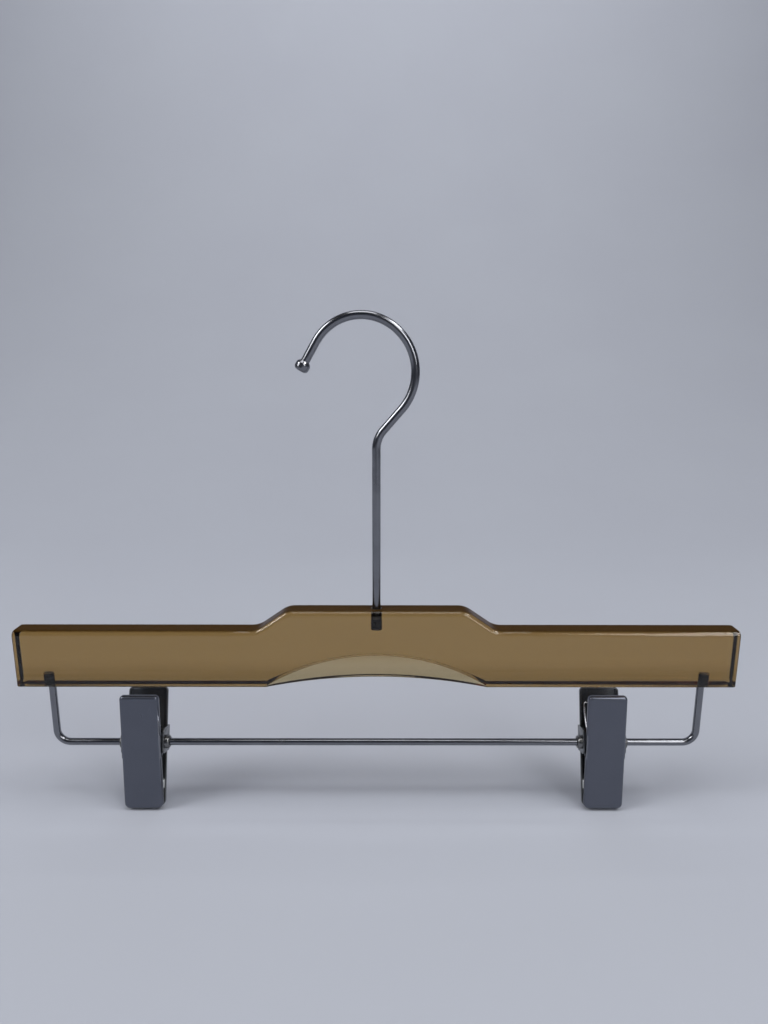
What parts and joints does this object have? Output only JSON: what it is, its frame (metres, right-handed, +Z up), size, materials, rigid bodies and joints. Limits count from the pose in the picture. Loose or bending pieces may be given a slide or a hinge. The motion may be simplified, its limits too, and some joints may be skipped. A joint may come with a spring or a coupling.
{
  "type": "trouser hanger",
  "caption": "Clear tinted bar hanger with a swivel wire hook and a wire rail that carries two sliding, swinging, sprung trouser clips.",
  "frame": {"origin": "the seat inside the crook, on its inner surface straight above the hook's stem, where a rail carries the hanger", "axes": "+Z up along the hook's stem, +X along the bar to the right, -Y toward the front face of the bar"},
  "size_m": [0.35, 0.0226, 0.2434],
  "materials": {
    "acrylic": "clear smoky amber acrylic, flame polished edges",
    "hook_steel": "satin nickel plated steel wire",
    "rail_steel": "satin nickel plated steel wire",
    "socket_metal": "dark plated brass sleeve",
    "clip_metal": "satin dark nickel plated sheet steel",
    "rivet_metal": "plated steel, lightly rubbed",
    "spring_steel": "bright spring wire",
    "pad_plastic": "translucent soft plastic"
  },
  "bodies": {
    "hook": {"hook": "hook_steel", "hook_knob": "hook_steel"},
    "hanger": {"body": "acrylic", "hook_socket": "socket_metal", "trouser_rail": "rail_steel", "rail_ferrule_left": "socket_metal", "rail_ferrule_right": "socket_metal"},
    "clip_left_slider": {"clip_left_rivet": "rivet_metal"},
    "clip_left_front": {"clip_left_front_leg": "clip_metal", "clip_left_spring": "spring_steel", "clip_left_front_pad": "pad_plastic"},
    "clip_left_back": {"clip_left_back_leg": "clip_metal", "clip_left_back_pad": "pad_plastic"},
    "clip_right_slider": {"clip_right_rivet": "rivet_metal"},
    "clip_right_front": {"clip_right_front_leg": "clip_metal", "clip_right_spring": "spring_steel", "clip_right_front_pad": "pad_plastic"},
    "clip_right_back": {"clip_right_back_leg": "clip_metal", "clip_right_back_pad": "pad_plastic"}
  },
  "joints": [
    {"name": "hook_swivel", "type": "hinge", "parent": "hook", "child": "hanger", "pos_m": [0, 0, -0.14], "axis": [0, 0, 1], "continuous": true},
    {"name": "clip_left_slide", "type": "slide", "parent": "hanger", "child": "clip_left_slider", "axis": [1, 0, 0], "range_m": [-0.023, 0.103]},
    {"name": "clip_left_swing", "type": "hinge", "parent": "clip_left_slider", "child": "clip_left_front", "pos_m": [-0.117, 0, -0.20491], "axis": [1, 0, 0], "range_deg": [-139, 139]},
    {"name": "clip_left_jaw", "type": "hinge", "parent": "clip_left_front", "child": "clip_left_back", "pos_m": [-0.117, 0, -0.20491], "axis": [1, 0, 0], "range_deg": [0, 24], "stiffness_Nm_per_rad": 0.4, "springref_deg": -28.65, "deforming": ["clip_left_spring"]},
    {"name": "clip_right_slide", "type": "slide", "parent": "hanger", "child": "clip_right_slider", "axis": [1, 0, 0], "range_m": [-0.1, 0.026]},
    {"name": "clip_right_swing", "type": "hinge", "parent": "clip_right_slider", "child": "clip_right_front", "pos_m": [0.114, 0, -0.20491], "axis": [1, 0, 0], "range_deg": [-139, 139]},
    {"name": "clip_right_jaw", "type": "hinge", "parent": "clip_right_front", "child": "clip_right_back", "pos_m": [0.114, 0, -0.20491], "axis": [1, 0, 0], "range_deg": [0, 24], "stiffness_Nm_per_rad": 0.4, "springref_deg": -28.65, "deforming": ["clip_right_spring"]}
  ]
}
